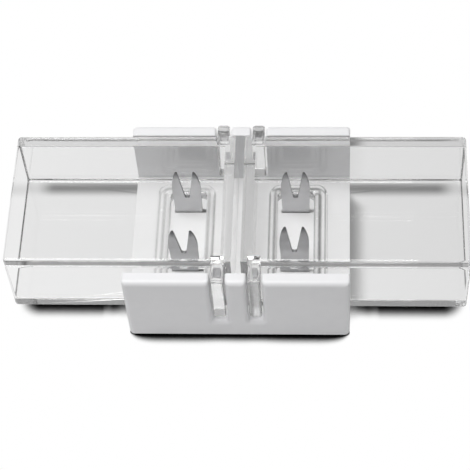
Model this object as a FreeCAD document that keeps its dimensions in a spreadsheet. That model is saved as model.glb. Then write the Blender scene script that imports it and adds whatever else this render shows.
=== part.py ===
import FreeCAD, Part
import math
import os
import re

import Sketcher
from FreeCAD import Placement, Rotation, Vector

# A solderless splice for two lit tapes, in millimetres. +X runs along the tapes, +Z is up, and the
# origin is under the middle of the clip. Two clear sleeves take the tapes, a white clip holds both
# sleeves, and two stamped contacts carry the two poles across, each with a fork under either tape.

sizes = {
    # the pair of clear sleeves
    "overall_length": 45.0,
    "sleeve_width": 14.9,
    "sleeve_height": 8.3,
    "sleeve_ceiling": 1.35,
    "sleeve_floor": 0.75,
    "sleeve_side": 0.5,
    "sleeve_round": 0.25,
    "mouth_round": 0.35,
    "hollow_round": 0.35,
    # the wall that closes the inner end of each sleeve
    "end_gap": 0.95,
    "end_thickness": 1.05,
    # the tabs that hold each sleeve in the clip
    "tab_gap": 2.3,
    "tab_width": 1.25,
    "tab_height": 6.35,
    "tab_drop": 0.65,
    "tab_inset": 0.1,
    "tab_root": 0.65,
    "tab_round": 0.3,
    "tab_corner": 0.25,
    # the window in each sleeve's floor, over the forks, and the rounded rim round it
    "window_length": 3.7,
    "window_width": 10.4,
    "window_round": 0.5,
    "rim_inner_width": 0.85,
    "rim_outer_width": 1.4,
    "rim_end_width": 1.0,
    "rim_rise": 0.5,
    "rim_round": 1.1,
    "rim_top_round": 0.35,
    # the white clip
    "clip_length": 22.0,
    "clip_height": 9.6,
    "clip_wall": 1.3,
    "clip_base": 1.0,
    "clip_clearance": 0.75,
    "clip_top_round": 0.5,
    "clip_foot_round": 0.3,
    "slot_clearance": 0.13,
    "slot_bottom": 2.45,
    "slot_round": 0.25,
    # the plate that holds the contacts
    "carrier_thickness": 1.2,
    "carrier_fit": 0.02,
    "peg_radius": 0.8,
    "peg_inset": 1.5,
    # the stamped contacts
    "contact_thickness": 0.3,
    "contact_fit": 0.07,
    "pole_spacing": 6.5,
    "pole_offset": 0.4,
    "fork_spacing": 11.0,
    "fork_height": 6.75,
    "foot_half_width": 1.38,
    "shoulder_half_width": 1.42,
    "shoulder_rise": 3.0,
    "flank_radius": 9.0,
    "point_half_spacing": 0.88,
    "point_half_width": 0.1,
    "point_radius": 0.12,
    "point_edge": 0.1,
    "coining_height": 0.8,
    "notch_half_width": 0.24,
    "notch_rise": 2.67,
    "notch_radius": 0.3,
    "strap_height": 0.7,
    "fork_slot_spare": 0.45,
    "bent_fork_lean": 4.0,
}

# Places that several pieces share, as sums of the sizes above.
carrier_top = "(clip_base + carrier_thickness)"
sleeve_end = "(overall_length / 2)"
end_near = "(end_gap / 2)"
end_far = "(end_gap / 2 + end_thickness)"
tab_near = "(tab_gap / 2)"
tab_far = "(tab_gap / 2 + tab_width)"
tab_half = "(sleeve_width / 2 + clip_clearance + clip_wall - tab_inset)"
sleeve_half = "(sleeve_width / 2)"
hollow_half = "(sleeve_width / 2 - sleeve_side)"
hollow_low = f"({carrier_top} + sleeve_floor)"
hollow_high = f"({carrier_top} + sleeve_height - sleeve_ceiling)"
channel_half = "(sleeve_width / 2 + clip_clearance)"
clip_half = "(sleeve_width / 2 + clip_clearance + clip_wall)"
tab_top = f"({carrier_top} + sleeve_height - tab_drop)"
fork_place = "(fork_spacing / 2)"
strap_top = "(clip_base + strap_height)"
front_pole = "(pole_offset - pole_spacing / 2)"
back_pole = "(pole_offset + pole_spacing / 2)"
peg_place = "(clip_length / 2 - peg_inset)"

LEFT, RIGHT = -1, 1
FRONT, BACK = -1, 1
START, END = 1, 2
NEAR = 1e-4

doc = FreeCAD.newDocument("TapeSplice")
sheet = doc.addObject("Spreadsheet::Sheet", "Sizes")
for row, (alias, size) in enumerate(sizes.items(), start=1):
    sheet.set(f"A{row}", alias)
    sheet.set(f"B{row}", str(size))
    sheet.setAlias(f"B{row}", alias)
doc.recompute()


def sized(words):
    return re.sub(r"[a-z]\w+", r"Sizes.\g<0>", words)


def value(words):
    return float(doc.Sizes.evalExpression(sized(words)))


def new_body(label):
    body = doc.addObject("PartDesign::Body", label)
    body.Label = label
    return body


def new_sketch(body, name, plane, height="0", rise="0", across="0", lean=None, hinge=(1, 0, 0)):
    # A sketch parallel to one of the body's own planes, at a height off it. It may start further
    # across and a rise higher in its own plane, and may lean about an axis, its own horizontal one
    # unless another is given.
    sketch = body.newObject("Sketcher::SketchObject", name)
    support = [item for item in body.Origin.OriginFeatures if item.Role == plane]
    sketch.AttachmentSupport = [(support[0], "")]
    sketch.MapMode = "FlatFace"
    turn = Rotation(Vector(*hinge), value(lean)) if lean else Rotation()
    sketch.AttachmentOffset = Placement(Vector(value(across), value(rise), value(height)), turn)
    sketch.setExpression("AttachmentOffset.Base.x", sized(across))
    sketch.setExpression("AttachmentOffset.Base.y", sized(rise))
    sketch.setExpression("AttachmentOffset.Base.z", sized(height))
    if lean:
        sketch.setExpression("AttachmentOffset.Rotation.Angle", sized(lean))
    return sketch


def hold(sketch, kind, place, words):
    # One dimension of a sketch, tied to the sizes.
    number = sketch.addConstraint(Sketcher.Constraint(kind, *place, value(words)))
    sketch.setExpression(f"Constraints[{number}]", sized(words))


def outline(sketch, corners, arcs=None):
    # A closed outline through corners. An arc leaves the corner that it is listed under, with its
    # radius and its turn: 1 to the left, -1 to the right.
    arcs = arcs or {}
    spots = [Vector(value(x), value(y), 0) for x, y in corners]
    ends = []
    for index, spot in enumerate(spots):
        target = spots[(index + 1) % len(spots)]
        if index not in arcs:
            number = sketch.addGeometry(Part.LineSegment(spot, target), False)
            ends.append((number, START, END))
            continue
        radius, turn = arcs[index]
        half = (target - spot) * 0.5
        reach = math.sqrt(max(value(radius) ** 2 - half.Length**2, 0.0))
        side = Vector(-half.y, half.x, 0).normalize() * (turn * reach)
        centre = spot + half + side
        first, last = (spot, target) if turn > 0 else (target, spot)
        angles = [math.atan2(end.y - centre.y, end.x - centre.x) for end in (first, last)]
        circle = Part.Circle(centre, Vector(0, 0, 1), value(radius))
        number = sketch.addGeometry(Part.ArcOfCircle(circle, *angles), False)
        ends.append((number, START, END) if turn > 0 else (number, END, START))
        hold(sketch, "Radius", (number,), radius)
    for index, (number, start, _) in enumerate(ends):
        before, _, end = ends[index - 1]
        sketch.addConstraint(Sketcher.Constraint("Coincident", before, end, number, start))
        hold(sketch, "DistanceX", (-1, 1, number, start), corners[index][0])
        hold(sketch, "DistanceY", (-1, 1, number, start), corners[index][1])


def rectangle(sketch, left, right, low, high):
    outline(sketch, [(left, low), (right, low), (right, high), (left, high)])


def circle(sketch, x, radius):
    number = sketch.addGeometry(Part.Circle(Vector(value(x), 0, 0), Vector(0, 0, 1), value(radius)), False)
    sketch.addConstraint(Sketcher.Constraint("PointOnObject", number, 3, -1))
    hold(sketch, "DistanceX", (-1, 1, number, 3), x)
    hold(sketch, "Radius", (number,), radius)


def feature(body, kind, sketch, name, length, symmetric=False, reverse=False):
    # A pad or a pocket. A pocket has to take material away.
    before = body.Shape.Volume if body.Tip else 0.0
    made = body.newObject(f"PartDesign::{kind}", name)
    made.Profile = sketch
    made.SideType = "Symmetric" if symmetric else "One side"
    made.Reversed = reverse
    made.Length = value(length)
    made.setExpression("Length", sized(length))
    doc.recompute()
    gained = body.Shape.Volume - before
    if gained * (1 if kind == "Pad" else -1) <= 0:
        raise RuntimeError(f"{body.Label}: {name} changed the volume by {gained:.3f}")
    return made


def pad(body, sketch, name, length, **more):
    return feature(body, "Pad", sketch, name, length, **more)


def pocket(body, sketch, name, length, **more):
    return feature(body, "Pocket", sketch, name, length, **more)


def near(number, words):
    return abs(number - value(words)) < NEAR


def fillet(body, name, radius, wanted):
    # Rounds the edges whose middle, between their ends, and direction suit.
    chosen = []
    base = body.Tip
    for index, edge in enumerate(base.Shape.Edges, start=1):
        ends = edge.Vertexes
        if len(ends) == 2 and wanted((ends[0].Point + ends[1].Point) * 0.5, ends[1].Point - ends[0].Point):
            chosen.append(f"Edge{index}")
    if not chosen:
        raise RuntimeError(f"{body.Label}: {name} found no edge")
    made = body.newObject("PartDesign::Fillet", name)
    made.Base = (base, chosen)
    made.Radius = value(radius)
    made.setExpression("Radius", sized(radius))
    doc.recompute()
    if "Invalid" in made.State:
        raise RuntimeError(f"{body.Label}: {name} failed")
    return made


def along(direction, axis):
    return abs(getattr(direction, axis)) > direction.Length - NEAR


def make_sleeve(side):
    # One clear sleeve, drawn on the right. The left one is the same moulding turned half round.
    body = new_body({RIGHT: "sleeve_right", LEFT: "sleeve_left"}[side])

    block = new_sketch(body, "SleeveBlock", "XY_Plane", carrier_top)
    rectangle(block, end_near, sleeve_end, f"-{sleeve_half}", sleeve_half)
    pad(body, block, "Block", "sleeve_height")

    notches = new_sketch(body, "TabNotchPlan", "XY_Plane", tab_top)
    for inner, outer in ((f"{sleeve_half} - tab_root", tab_half), (f"-{tab_half}", f"tab_root - {sleeve_half}")):
        rectangle(notches, tab_near, tab_far, inner, outer)
    pocket(body, notches, "TabNotches", "2 * tab_drop", reverse=True)

    tabs = new_sketch(body, "TabPlan", "XY_Plane", tab_top)
    rectangle(tabs, tab_near, tab_far, f"-{tab_half}", tab_half)
    pad(body, tabs, "Tabs", "tab_height", reverse=True)
    fillet(body, "TabCorners", "tab_corner", lambda middle, run: (
        along(run, "z") and near(abs(middle.y), tab_half)))

    hollow = new_sketch(body, "HollowSection", "YZ_Plane", sleeve_end)
    rectangle(hollow, f"-{hollow_half}", hollow_half, hollow_low, hollow_high)
    pocket(body, hollow, "Hollow", f"{sleeve_end} - {end_far}")
    fillet(body, "HollowRounds", "hollow_round", lambda middle, run: (
        along(run, "x") and near(abs(middle.y), hollow_half)))

    fillet(body, "TabRounds", "tab_round", lambda middle, run: (
        along(run, "x") and near(abs(middle.y), tab_half) and near(middle.z, tab_top)))
    fillet(body, "MouthRounds", "mouth_round", lambda middle, run: (
        along(run, "z") and near(middle.x, sleeve_end) and near(abs(middle.y), sleeve_half)))
    fillet(body, "LongRounds", "sleeve_round", lambda middle, run: (
        along(run, "x") and near(abs(middle.y), sleeve_half) and middle.x > value(tab_far)))

    rim = new_sketch(body, "RimPlan", "XY_Plane", hollow_low)
    rectangle(
        rim,
        f"{fork_place} - window_length / 2 - rim_inner_width",
        f"{fork_place} + window_length / 2 + rim_outer_width",
        "-(window_width / 2 + rim_end_width)",
        "window_width / 2 + rim_end_width",
    )
    pad(body, rim, "Rim", "rim_rise")
    fillet(body, "RimRounds", "rim_round", lambda middle, run: (
        along(run, "z") and near(abs(middle.y), "window_width / 2 + rim_end_width")))

    window = new_sketch(body, "WindowPlan", "XY_Plane", f"{hollow_low} + rim_rise")
    rectangle(
        window,
        f"{fork_place} - window_length / 2",
        f"{fork_place} + window_length / 2",
        "-window_width / 2",
        "window_width / 2",
    )
    pocket(body, window, "Window", "sleeve_floor + rim_rise")
    fillet(body, "WindowRounds", "window_round", lambda middle, run: (
        along(run, "z") and near(abs(middle.y), "window_width / 2")))
    fillet(body, "RimTopRounds", "rim_top_round", lambda middle, run: (
        abs(run.z) < NEAR and near(middle.z, f"{hollow_low} + rim_rise")))

    if side == LEFT:
        body.Placement = Placement(Vector(), Rotation(Vector(0, 0, 1), 180))
    return body


def make_clip():
    # The white channel: a base and two walls, each wall slotted for the tabs of both sleeves.
    body = new_body("clip_channel")

    section = new_sketch(body, "ChannelSection", "YZ_Plane")
    outline(section, [
        (f"-{clip_half}", "0"),
        (clip_half, "0"),
        (clip_half, "clip_height"),
        (channel_half, "clip_height"),
        (channel_half, "clip_base"),
        (f"-{channel_half}", "clip_base"),
        (f"-{channel_half}", "clip_height"),
        (f"-{clip_half}", "clip_height"),
    ])
    pad(body, section, "Channel", "clip_length", symmetric=True)

    slots = new_sketch(body, "TabSlots", "XZ_Plane")
    for low, high in ((f"-{tab_far} - slot_clearance", f"-{tab_near} + slot_clearance"),
                      (f"{tab_near} - slot_clearance", f"{tab_far} + slot_clearance")):
        rectangle(slots, low, high, "slot_bottom", "clip_height + slot_round")
    pocket(body, slots, "Slots", f"2 * {clip_half} + 2 * slot_round", symmetric=True)

    holes = new_sketch(body, "PegHoles", "XY_Plane")
    circle(holes, f"-{peg_place}", "peg_radius")
    circle(holes, peg_place, "peg_radius")
    pocket(body, holes, "Pegs", "2 * clip_base", symmetric=True)

    fillet(body, "SlotRounds", "slot_round", lambda middle, run: (
        along(run, "y") and (near(middle.z, "clip_height") or near(middle.z, "slot_bottom"))))
    fillet(body, "TopRounds", "clip_top_round", lambda middle, run: (
        along(run, "x") and near(middle.z, "clip_height") and near(abs(middle.y), clip_half)))
    fillet(body, "FootRounds", "clip_foot_round", lambda middle, run: (
        near(middle.z, "0") and along(run, "x")))
    return body


def make_carrier():
    # The plate under the sleeves. Its grooves hold the straps, its slots let the forks through.
    body = new_body("contact_carrier")
    half_width = f"{channel_half} - carrier_fit"

    plate = new_sketch(body, "PlatePlan", "XY_Plane", "clip_base")
    rectangle(plate, "-clip_length / 2", "clip_length / 2", f"-({half_width})", half_width)
    pad(body, plate, "Plate", "carrier_thickness")

    pegs = new_sketch(body, "PegPlan", "XY_Plane", "clip_base")
    circle(pegs, f"-{peg_place}", "peg_radius")
    circle(pegs, peg_place, "peg_radius")
    pad(body, pegs, "Pegs", "clip_base", reverse=True)

    half_slot = "(contact_thickness / 2 + contact_fit)"
    strap_end = f"({fork_place} + shoulder_half_width + contact_fit)"
    grooves = new_sketch(body, "StrapGrooves", "XY_Plane", "clip_base")
    slots = new_sketch(body, "ForkSlots", "XY_Plane", carrier_top)
    for pole in (front_pole, back_pole):
        rectangle(grooves, f"-{strap_end}", strap_end, f"{pole} - {half_slot}", f"{pole} + {half_slot}")
        for fork in (f"-{fork_place}", fork_place):
            rectangle(
                slots,
                f"{fork} - shoulder_half_width - contact_fit",
                f"{fork} + shoulder_half_width + contact_fit + fork_slot_spare",
                f"{pole} - {half_slot}",
                f"{pole} + {half_slot}",
            )
    pocket(body, grooves, "Grooves", "strap_height", reverse=True)
    pocket(body, slots, "Slots", "carrier_thickness - strap_height")
    return body


def fork_outline(sketch, axis):
    # A fork about its upright axis, from its root in the strap, below the sketch's own axis, to
    # its two points. Its flanks swell to the shoulders and then curve in, and the notch between
    # the prongs has a round bottom.
    root = "-(carrier_thickness - strap_height / 2)"
    corners = [
        (f"{axis} - foot_half_width", root),
        (f"{axis} + foot_half_width", root),
        (f"{axis} + foot_half_width", "0"),
        (f"{axis} + shoulder_half_width", "shoulder_rise"),
        (f"{axis} + point_half_spacing + point_half_width", "fork_height"),
        (f"{axis} + point_half_spacing - point_half_width", "fork_height"),
        (f"{axis} + notch_half_width", "notch_rise"),
        (f"{axis} - notch_half_width", "notch_rise"),
        (f"{axis} - point_half_spacing + point_half_width", "fork_height"),
        (f"{axis} - point_half_spacing - point_half_width", "fork_height"),
        (f"{axis} - shoulder_half_width", "shoulder_rise"),
        (f"{axis} - foot_half_width", "0"),
    ]
    arcs = {
        3: ("flank_radius", 1),
        4: ("point_radius", 1),
        6: ("notch_radius", -1),
        8: ("point_radius", 1),
        9: ("flank_radius", 1),
    }
    outline(sketch, corners, arcs)


def coining_outline(sketch):
    # The two wedges that the sharpening takes off a fork's points, seen along the strap, with the
    # sketch's origin at the fork's foot, in the middle of the sheet.
    for sign in ("", "-"):
        outline(sketch, [
            (f"{sign}contact_thickness / 2", "fork_height - coining_height"),
            (f"{sign}contact_thickness", "fork_height - coining_height"),
            (f"{sign}contact_thickness", "fork_height + point_radius"),
            (f"{sign}point_edge / 2", "fork_height + point_radius"),
        ])


def make_contact(pole):
    # One stamping: a strap on edge with a fork at either end. The front left fork leans a little.
    body = new_body({FRONT: "contact_front", BACK: "contact_back"}[pole])
    stand = {FRONT: front_pole, BACK: back_pole}[pole]

    strap = new_sketch(body, "StrapSide", "XZ_Plane", f"-{stand}")
    end = f"({fork_place} + shoulder_half_width)"
    rectangle(strap, f"-{end}", end, "clip_base", strap_top)
    pad(body, strap, "Strap", "contact_thickness", symmetric=True)

    for side, axis in ((LEFT, f"-{fork_place}"), (RIGHT, fork_place)):
        name = {LEFT: "LeftFork", RIGHT: "RightFork"}[side]
        lean = "bent_fork_lean" if (pole, side) == (FRONT, LEFT) else None
        fork = new_sketch(body, f"{name}Side", "XZ_Plane", f"-{stand}", carrier_top, lean=lean)
        fork_outline(fork, axis)
        pad(body, fork, name, "contact_thickness", symmetric=True)
        coining = new_sketch(
            body, f"{name}Wedges", "YZ_Plane", axis, carrier_top, across=stand, lean=lean, hinge=(0, 0, 1),
        )
        coining_outline(coining)
        pocket(body, coining, f"{name}Coining", "2 * shoulder_half_width", symmetric=True)
    return body


made = [make_clip(), make_carrier()]
made += [make_contact(pole) for pole in (FRONT, BACK)]
made += [make_sleeve(side) for side in (LEFT, RIGHT)]
doc.recompute()

for item in doc.Objects:
    if "Invalid" in item.State or "Error" in item.State:
        raise RuntimeError(f"{item.Label} failed: {item.State}")

os.makedirs("parts", exist_ok=True)
for body in made:
    if body.Shape.isNull() or not body.Shape.isValid():
        raise RuntimeError(f"{body.Label} has no valid shape")
    body.Shape.exportStep(f"parts/{body.Label}.step")
    box = body.Shape.BoundBox
    print(f"{body.Label}: {box.XLength:.2f} x {box.YLength:.2f} x {box.ZLength:.2f} mm, "
          f"{body.Shape.Volume:.1f} mm3, {len(body.Shape.Solids)} solid")
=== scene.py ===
import math

import bpy
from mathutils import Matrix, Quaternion, Vector


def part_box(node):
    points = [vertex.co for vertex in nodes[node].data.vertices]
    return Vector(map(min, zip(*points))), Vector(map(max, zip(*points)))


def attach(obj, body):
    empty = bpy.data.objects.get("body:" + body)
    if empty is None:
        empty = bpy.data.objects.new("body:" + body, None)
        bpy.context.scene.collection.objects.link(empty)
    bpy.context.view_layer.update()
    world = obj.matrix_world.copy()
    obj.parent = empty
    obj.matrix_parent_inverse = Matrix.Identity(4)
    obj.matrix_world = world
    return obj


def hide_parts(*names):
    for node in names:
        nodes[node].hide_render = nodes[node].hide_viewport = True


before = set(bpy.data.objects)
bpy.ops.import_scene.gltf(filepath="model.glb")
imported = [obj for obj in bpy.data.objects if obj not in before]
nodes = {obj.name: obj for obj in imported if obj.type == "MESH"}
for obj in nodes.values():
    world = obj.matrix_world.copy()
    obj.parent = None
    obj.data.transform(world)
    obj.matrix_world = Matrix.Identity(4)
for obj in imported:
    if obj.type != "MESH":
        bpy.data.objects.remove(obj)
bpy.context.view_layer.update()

# A clear and white splice for lit tapes, lying on a pale bench. Lengths are in metres.


# Small helpers for modelling

def onlySelect(piece):
    bpy.ops.object.select_all(action="DESELECT")
    piece.select_set(True)
    bpy.context.view_layer.objects.active = piece


def applyModifier(piece, kind, **values):
    onlySelect(piece)
    modifier = piece.modifiers.new(kind.title(), kind)
    for name, value in values.items():
        setattr(modifier, name, value)
    bpy.ops.object.modifier_apply(modifier=modifier.name)


def finerCopy(node, name, edge):
    # a copy of a moulded or stamped piece with its sharp edges softened
    source = nodes[node]
    piece = bpy.data.objects.new(name, source.data.copy())
    bpy.context.scene.collection.objects.link(piece)
    piece.data.materials.clear()
    onlySelect(piece)
    bpy.ops.object.mode_set(mode="EDIT")
    bpy.ops.mesh.select_all(action="SELECT")
    bpy.ops.mesh.customdata_custom_splitnormals_clear()
    bpy.ops.mesh.remove_doubles(threshold=edge["weld"])
    bpy.ops.object.mode_set(mode="OBJECT")
    applyModifier(
        piece,
        "BEVEL",
        width=edge["round"],
        segments=edge["steps"],
        limit_method="ANGLE",
        angle_limit=math.radians(edge["sharp"]),
        harden_normals=False,
    )
    bpy.ops.object.shade_smooth_by_angle(angle=math.radians(edge["smooth"]))
    applyModifier(piece, "WEIGHTED_NORMAL", weight=edge["flatness"], keep_sharp=True)
    return piece


def lower(piece, start, drop):
    # moves down what lies above the start
    for corner in piece.data.vertices:
        if corner.co.z > start:
            corner.co.z -= drop


def paint(piece, material):
    piece.data.materials.clear()
    piece.data.materials.append(material)


def standIn(piece, node, body):
    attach(piece, body)
    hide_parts(node)


# Shader maths

class Wire:  # a socket that can be worked out like a number
    def __init__(self, recipe, socket):
        self.recipe = recipe
        self.socket = socket

    def reckon(self, operation, first, second):
        return self.recipe.node("Math", {"operation": operation}, {0: first, 1: second})

    def __add__(self, other):
        return self.reckon("ADD", self, other)

    __radd__ = __add__

    def __sub__(self, other):
        return self.reckon("SUBTRACT", self, other)

    def __rsub__(self, other):
        return self.reckon("SUBTRACT", other, self)

    def __mul__(self, other):
        return self.reckon("MULTIPLY", self, other)

    __rmul__ = __mul__

    def __gt__(self, other):
        return self.reckon("GREATER_THAN", self, other)

    def __lt__(self, other):
        return self.reckon("LESS_THAN", self, other)


class Recipe:
    def __init__(self, owner):
        owner.use_nodes = True
        self.tree = owner.node_tree
        self.tree.nodes.clear()

    def node(self, kind, settings, values, output=0):
        made = self.tree.nodes.new("ShaderNode" + kind)
        for name, value in settings.items():
            setattr(made, name, value)
        for name, value in values.items():
            if isinstance(value, Wire):
                self.tree.links.new(value.socket, made.inputs[name])
            else:
                made.inputs[name].default_value = value
        return Wire(self, made.outputs[output])

    def place(self, kind="Object"):
        return self.node("TexCoord", {}, {}, kind)

    def along(self, axis, kind="Object"):
        # how far along an axis a spot lies or, of the kind Normal, how much it faces that way
        return self.node("SeparateXYZ", {}, {"Vector": self.place(kind)}, axis)

    def size(self, value):
        return self.node("Math", {"operation": "ABSOLUTE"}, {0: value})

    def larger(self, first, second):
        return self.node("Math", {"operation": "MAXIMUM"}, {0: first, 1: second})

    def root(self, value):
        return self.node("Math", {"operation": "SQRT"}, {0: value})

    def line(self, value, middle, half):
        # 1 at the middle, falling softly to 0 at half the line's width on either side
        return self.eased(self.size(value - middle), half, 0)

    def eased(self, value, start, end):
        # from 0 at the start to 1 at the end, with soft ends
        return self.node("MapRange", {"interpolation_type": "SMOOTHSTEP"}, {
            "Value": value, "From Min": start, "From Max": end,
        })

    def noise(self, scale, detail, squeeze=(1, 1, 1)):
        spot = self.node("Mapping", {}, {"Vector": self.place(), "Scale": squeeze})
        return self.node("TexNoise", {}, {"Vector": spot, "Scale": scale, "Detail": detail}, "Fac")

    def between(self, share, low, high):
        # a number that goes from low to high as share goes from 0 to 1
        return self.node("MapRange", {}, {"Value": share, "To Min": low, "To Max": high})

    def tint(self, share, first, second):
        # a colour that goes from the first to the second as share goes from 0 to 1
        return self.node("Mix", {"data_type": "RGBA"}, {"Factor": share, 6: (*first, 1), 7: (*second, 1)}, 2)

    def dimmed(self, colour, share):
        return self.node("VectorMath", {"operation": "SCALE"}, {0: colour, "Scale": share})

    def blend(self, share, first, second):
        return self.node("MixShader", {}, {0: share, 1: first, 2: second})

    def ray(self, kind):
        return self.node("LightPath", {}, {}, kind)

    def bentRay(self):
        # 1 for light that comes by way of a mirrored or a clear surface
        return self.ray("Is Glossy Ray") + self.ray("Is Transmission Ray") > 0

    def relief(self, height, distance, strength):
        return self.node("Bump", {}, {"Height": height, "Distance": distance, "Strength": strength}, "Normal")


def newRecipe(name):
    material = bpy.data.materials.new(name)
    return material, Recipe(material)


def endRecipe(recipe, shader, kind="OutputMaterial", inner=None):
    made = recipe.tree.nodes.new("ShaderNode" + kind)
    recipe.tree.links.new(shader.socket, made.inputs["Surface"])
    if inner:
        recipe.tree.links.new(inner.socket, made.inputs["Volume"])


# Finishes

# A noise is given as its scale and its detail, and a relief as its height and its strength.

whiteMoulding = {
    "clip": ((0.86, 0.86, 0.87), (0.82, 0.82, 0.835)),
    # the plate takes a lighter white than the clip: painted light that brightens the floor seen under the
    # sleeves
    "plate": ((0.94, 0.94, 0.94), (0.91, 0.91, 0.91)),
    "roughness": (0.30, 0.42),
    "mottle": (900, 3),
    "orangePeel": (2600, 2),
    "peelRelief": (0.00001, 0.12),
    "bend": 1.5,
}


def mouldedWhite(name, shades):
    material, recipe = newRecipe(name)
    mottle = recipe.noise(*whiteMoulding["mottle"])
    peel = recipe.noise(*whiteMoulding["orangePeel"])
    shader = recipe.node("BsdfPrincipled", {}, {
        "Base Color": recipe.tint(mottle, *shades),
        "Roughness": recipe.between(mottle, *whiteMoulding["roughness"]),
        "IOR": whiteMoulding["bend"],
        "Normal": recipe.relief(peel, *whiteMoulding["peelRelief"]),
    })
    endRecipe(recipe, shader)
    return material


clearMoulding = {
    "colour": (0.99, 0.99, 0.99),
    "bend": 1.49,
    "roughness": (0.0, 0.03),
    "flow": (260, 2, (1.0, 0.25, 0.25)),  # its ripples run across the sleeves
    "flowRelief": (0.00002, 0.02),
    "smoke": (0.2, 0.2, 0.2),
    "smokiness": 32,
    "lampShade": (0.995, 0.995, 0.995),
    "heldBack": 0.7,
}
# painted shade lines on the rim round each window
rimPaintedShade = {
    "colour": (0.26, 0.26, 0.26),
    # the painted shade on the left sleeve's rim is fainter, as the lamp is on the left
    "leftShare": 0.5,  # the left sleeve's rim is fainter
    "top": 0.0036,
    "upright": 0.3,  # faces that look up more than this take the grey
    "middle": 0.005675,  # of the rim, counted from the middle of the clip
    "half": (0.002975, 0.0062),
    "round": 0.0011,
    "edgeLine": (-0.00013, 0.00016),  # middle and half width, below 0 within the rim's outer edge
    "middleLine": (-0.00070, 0.00030),
}
# painted shade on the face of the right front tab: a darker grain, with a rougher surface
rightTabShade = {"face": -0.0093, "grain": (2400, 3), "shade": (0.5, 1.0), "roughness": 0.45}


def rimShadeLines(recipe):
    # the rim round each window is a rounded oblong; painted shade greys it along its edge and again along its
    # middle, standing in for the dark lines that refraction draws along a rounded bead
    up = (recipe.along("Z") < rimPaintedShade["top"]) * (recipe.along("Z", "Normal") > rimPaintedShade["upright"])
    straightX, straightY = (half - rimPaintedShade["round"] for half in rimPaintedShade["half"])
    acrossX = recipe.size(recipe.size(recipe.along("X")) - rimPaintedShade["middle"])
    beyondX = recipe.larger(acrossX - straightX, 0)
    beyondY = recipe.larger(recipe.size(recipe.along("Y")) - straightY, 0)
    toEdge = recipe.root(beyondX * beyondX + beyondY * beyondY) - rimPaintedShade["round"]
    grey = recipe.line(toEdge, *rimPaintedShade["edgeLine"]) + recipe.line(toEdge, *rimPaintedShade["middleLine"])
    return up * grey * recipe.between(recipe.along("X") > 0, rimPaintedShade["leftShare"], 1)


def mouldedClear():
    material, recipe = newRecipe("mouldedClear")
    flow = recipe.noise(*clearMoulding["flow"])
    # the clear colour with the rim's painted shade lines
    plain = recipe.tint(rimShadeLines(recipe), clearMoulding["colour"], rimPaintedShade["colour"])
    # the face of the right front tab is painted darker in a grain, painted shade for the lamp on the left,
    # and it is made rougher
    rightTabFace = (recipe.along("Y") < rightTabShade["face"]) * (recipe.along("X") > 0)
    grain = recipe.between(recipe.noise(*rightTabShade["grain"]), *rightTabShade["shade"])
    shader = recipe.node("BsdfPrincipled", {}, {
        "Base Color": recipe.dimmed(plain, 1 - rightTabFace * (1 - grain)),
        "Roughness": recipe.between(flow, *clearMoulding["roughness"]) + rightTabFace * rightTabShade["roughness"],
        "IOR": clearMoulding["bend"],
        "Transmission Weight": 1.0,
        "Normal": recipe.relief(flow, *clearMoulding["flowRelief"]),
    })
    # lamps and scattered light go straight through, so that what is under the sleeves is lit, but a wall
    # that they meet at a slant holds some back
    passing = recipe.node("BsdfTransparent", {}, {"Color": (*clearMoulding["lampShade"], 1)})
    slant = recipe.node("LayerWeight", {}, {}, "Facing")
    kept = 1 - clearMoulding["heldBack"] * slant * slant * slant
    unseen = (recipe.ray("Is Shadow Ray") + recipe.ray("Is Diffuse Ray")) * kept
    smoke = recipe.node("VolumeAbsorption", {}, {
        "Color": (*clearMoulding["smoke"], 1), "Density": clearMoulding["smokiness"],
    })
    endRecipe(recipe, recipe.blend(unseen, shader, passing), inner=smoke)
    return material


tinnedSheet = {
    "shades": ((0.60, 0.60, 0.61), (0.48, 0.48, 0.49)),
    "roughness": (0.32, 0.5),
    "grain": (1600, 4, (0.08, 1, 1)),
    "grainRelief": (0.000004, 0.3),
    "upright": 0.95,  # the faces of the sheet look along Y by more than this
    # painted shade along the sheet's cut and rounded edges
    "cutShade": 0.4,
    # the points are painted darker between these heights, a painted dark reflection
    "point": (0.0080, 0.0089),
    "pointShade": 0.3,
}


def stampedTin():
    material, recipe = newRecipe("stampedTin")
    grain = recipe.noise(*tinnedSheet["grain"])
    # the points are painted darker, a painted dark reflection at the coined points, and the cut and rounded
    # edges of the sheet are painted darker than its faces, painted shade along its edges
    low, high = tinnedSheet["point"]
    point = recipe.node("MapRange", {}, {
        "Value": recipe.along("Z"),
        "From Min": low,
        "From Max": high,
        "To Min": 1.0,
        "To Max": tinnedSheet["pointShade"],
    })
    facing = recipe.size(recipe.along("Y", "Normal")) > tinnedSheet["upright"]
    cut = recipe.between(facing, tinnedSheet["cutShade"], 1)
    shader = recipe.node("BsdfPrincipled", {}, {
        "Base Color": recipe.dimmed(recipe.tint(grain, *tinnedSheet["shades"]), point * cut),
        "Metallic": 1.0,
        "Roughness": recipe.between(grain, *tinnedSheet["roughness"]),
        "Normal": recipe.relief(grain, *tinnedSheet["grainRelief"]),
    })
    endRecipe(recipe, shader)
    return material


# The pieces

softEdge = {"weld": 0.000002, "round": 0.00007, "steps": 3, "sharp": 35, "smooth": 40, "flatness": 100}

print("dressing the clip and its plate")
clipEdge = {**softEdge, "round": 0.0001}
clip = finerCopy("clip_channel", "clip", clipEdge)
paint(clip, mouldedWhite("mouldedWhite", whiteMoulding["clip"]))
standIn(clip, "clip_channel", "clip")

carrier = finerCopy("contact_carrier", "carrier_plate", clipEdge)
# the plate's lighter white is painted light
paint(carrier, mouldedWhite("plateWhitePaintedLight", whiteMoulding["plate"]))
standIn(carrier, "contact_carrier", "clip")
# the sleeves lie on the plate, so its top is kept a hair below their undersides
seatGap = 0.00001
lower(carrier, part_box("contact_carrier")[1].z - seatGap, seatGap)

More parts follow.
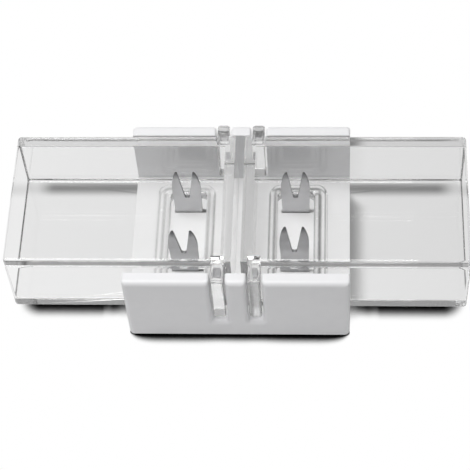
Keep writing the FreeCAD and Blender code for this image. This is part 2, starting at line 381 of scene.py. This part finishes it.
print("dressing the contacts")
stampedEdge = {**softEdge, "round": 0.00006}
tin = stampedTin()
for side in ("front", "back"):
    contact = finerCopy("contact_" + side, "forks_" + side, stampedEdge)
    paint(contact, tin)
    standIn(contact, "contact_" + side, "clip")

print("dressing the sleeves")
clearPlastic = mouldedClear()
for side in ("left", "right"):
    sleeve = finerCopy("sleeve_" + side, "clear_sleeve_" + side, softEdge)
    paint(sleeve, clearPlastic)
    standIn(sleeve, "sleeve_" + side, side + "_sleeve")

# The bench, the light and the camera

print("laying the bench")
bench = {
    "size": 1.6,
    "below": 0.00002,
    "colour": 0.8,
    "nearness": 0.003,  # how far the bench looks for the part above it
    "tries": 64,
    "shadow": (0.545, 0.745),  # how open the sky is where the shadow is black, and where it ends
    "clipReach": 0.003,
    "clipLift": 0.3,
    "sleeveDrop": 0.07,
    "seenThrough": 0.86,
    "leftLight": 2.2,
    "clipShade": (0.28, 0.42),
    "clipDepth": 0.32,
    "outline": (0.0078, 0.0013),  # how far from the middle line it lies, and half its width
    "outlineDepth": 0.74,
    "outlineEnd": (0.0222, 0.0200),
    "outlineLeft": 0.25,
}
bpy.ops.mesh.primitive_plane_add(size=bench["size"])
benchTop = bpy.context.object
benchTop.name = "bench"
lower(benchTop, -bench["below"], bench["below"])

# The lens sees a white bench with a deep, narrow shadow close to the part. Through clear plastic the
# bench is greyer, with the shadows of the clip's right end and of the sleeves' long edges. Other light
# finds it plain and pale.
benchMaterial, recipe = newRecipe("benchWhite")
openness = recipe.node(
    "AmbientOcclusion",
    {"samples": bench["tries"]},
    {"Color": (1, 1, 1, 1), "Distance": bench["nearness"]},
    "AO",
)
along = recipe.along("X")
past = recipe.size(along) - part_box("clip_channel")[1].x
# the clip's ends shade the bench beside them less than its front does, and the sleeves a little more
lift = (past > 0) * recipe.node("MapRange", {}, {
    "Value": past,
    "From Max": bench["clipReach"],
    "To Min": bench["clipLift"],
    "To Max": -bench["sleeveDrop"],
})
beside = recipe.eased(openness + lift, *bench["shadow"])
besideClip = recipe.between(recipe.eased(openness, *bench["clipShade"]), bench["clipDepth"], 1)
clipEnd = 1 - (1 - besideClip) * (along > 0)
ends = recipe.between(recipe.eased(recipe.size(along), *bench["outlineEnd"]), bench["outlineLeft"], 1)
outline = recipe.line(recipe.size(recipe.along("Y")), *bench["outline"]) * ends
under = (bench["seenThrough"] - bench["leftLight"] * along) * clipEnd * (1 - bench["outlineDepth"] * outline)
direct = recipe.ray("Is Camera Ray")
through = recipe.bentRay() * (recipe.ray("Diffuse Depth") < 1)
plain = recipe.node("BsdfDiffuse", {}, {"Color": (bench["colour"],) * 3 + (1,)})
shown = recipe.node("Emission", {}, {"Color": direct * beside + (1 - direct) * under})
laid = recipe.blend(direct + (1 - direct) * through, plain, shown)
# from below, the bench lets the underside of the part be seen
fromBelow = recipe.node("NewGeometry", {}, {}, "Backfacing")
nothing = recipe.node("BsdfTransparent", {}, {"Color": (1, 1, 1, 1)})
endRecipe(recipe, recipe.blend(fromBelow, laid, nothing))
paint(benchTop, benchMaterial)

print("setting the light and the lens")
# what is mirrored or seen through the plastic finds the room brighter on the left than on the right
room = {"light": 0.3, "seenLeft": 0.74, "seenRight": 0.38, "farLeft": -1.0}
world = bpy.data.worlds.new("room")
bpy.context.scene.world = world
recipe = Recipe(world)
seen = recipe.node("MapRange", {}, {
    "Value": recipe.along("X", "Generated"),
    "From Min": room["farLeft"],
    "To Min": room["seenLeft"],
    "To Max": room["seenRight"],
})
backdrop = recipe.node("Background", {}, {"Strength": recipe.between(recipe.bentRay(), room["light"], seen)})
endRecipe(recipe, backdrop, "OutputWorld")

# light that is guided along a clear wall turns at its faces many times
bounces = {"max_bounces": 32, "glossy_bounces": 24, "transmission_bounces": 24}
for name, count in bounces.items():
    setattr(bpy.context.scene.cycles, name, count)

softbox = {"place": (-0.05, 0.0, 0.22), "size": 0.16, "power": 0.45}
lamp = bpy.data.lights.new("softbox", "AREA")
lamp.shape = "SQUARE"
lamp.size = softbox["size"]
lamp.energy = softbox["power"]
light = bpy.data.objects.new("softbox", lamp)
light.location = softbox["place"]
light.rotation_mode = "QUATERNION"
light.rotation_quaternion = Vector(softbox["place"]).to_track_quat("Z", "Y")
bpy.context.scene.collection.objects.link(light)

viewpoint = {
    "aim": (-0.000783, 0.001709, 0.001177),
    "distance": 0.178378,
    "azimuth": 6.184,
    "elevation": 56.566,
    "roll": -4.994,
    "lens": 132.67,
    "sensor": 36.0,
    "nearest": 0.01,
    "farthest": 10,
}
turn = math.radians(viewpoint["azimuth"])
rise = math.radians(viewpoint["elevation"])
back = Vector((math.sin(turn) * math.cos(rise), -math.cos(turn) * math.cos(rise), math.sin(rise)))
lens = bpy.data.cameras.new("lens")
lens.lens = viewpoint["lens"]
lens.sensor_width = viewpoint["sensor"]
lens.clip_start = viewpoint["nearest"]
lens.clip_end = viewpoint["farthest"]
camera = bpy.data.objects.new("camera", lens)
camera.location = Vector(viewpoint["aim"]) + back * viewpoint["distance"]
camera.rotation_mode = "QUATERNION"
roll = Quaternion((0, 0, 1), math.radians(viewpoint["roll"]))
camera.rotation_quaternion = back.to_track_quat("Z", "Y") @ roll
bpy.context.scene.collection.objects.link(camera)
bpy.context.scene.camera = camera
bpy.context.scene.view_settings.view_transform = "Standard"
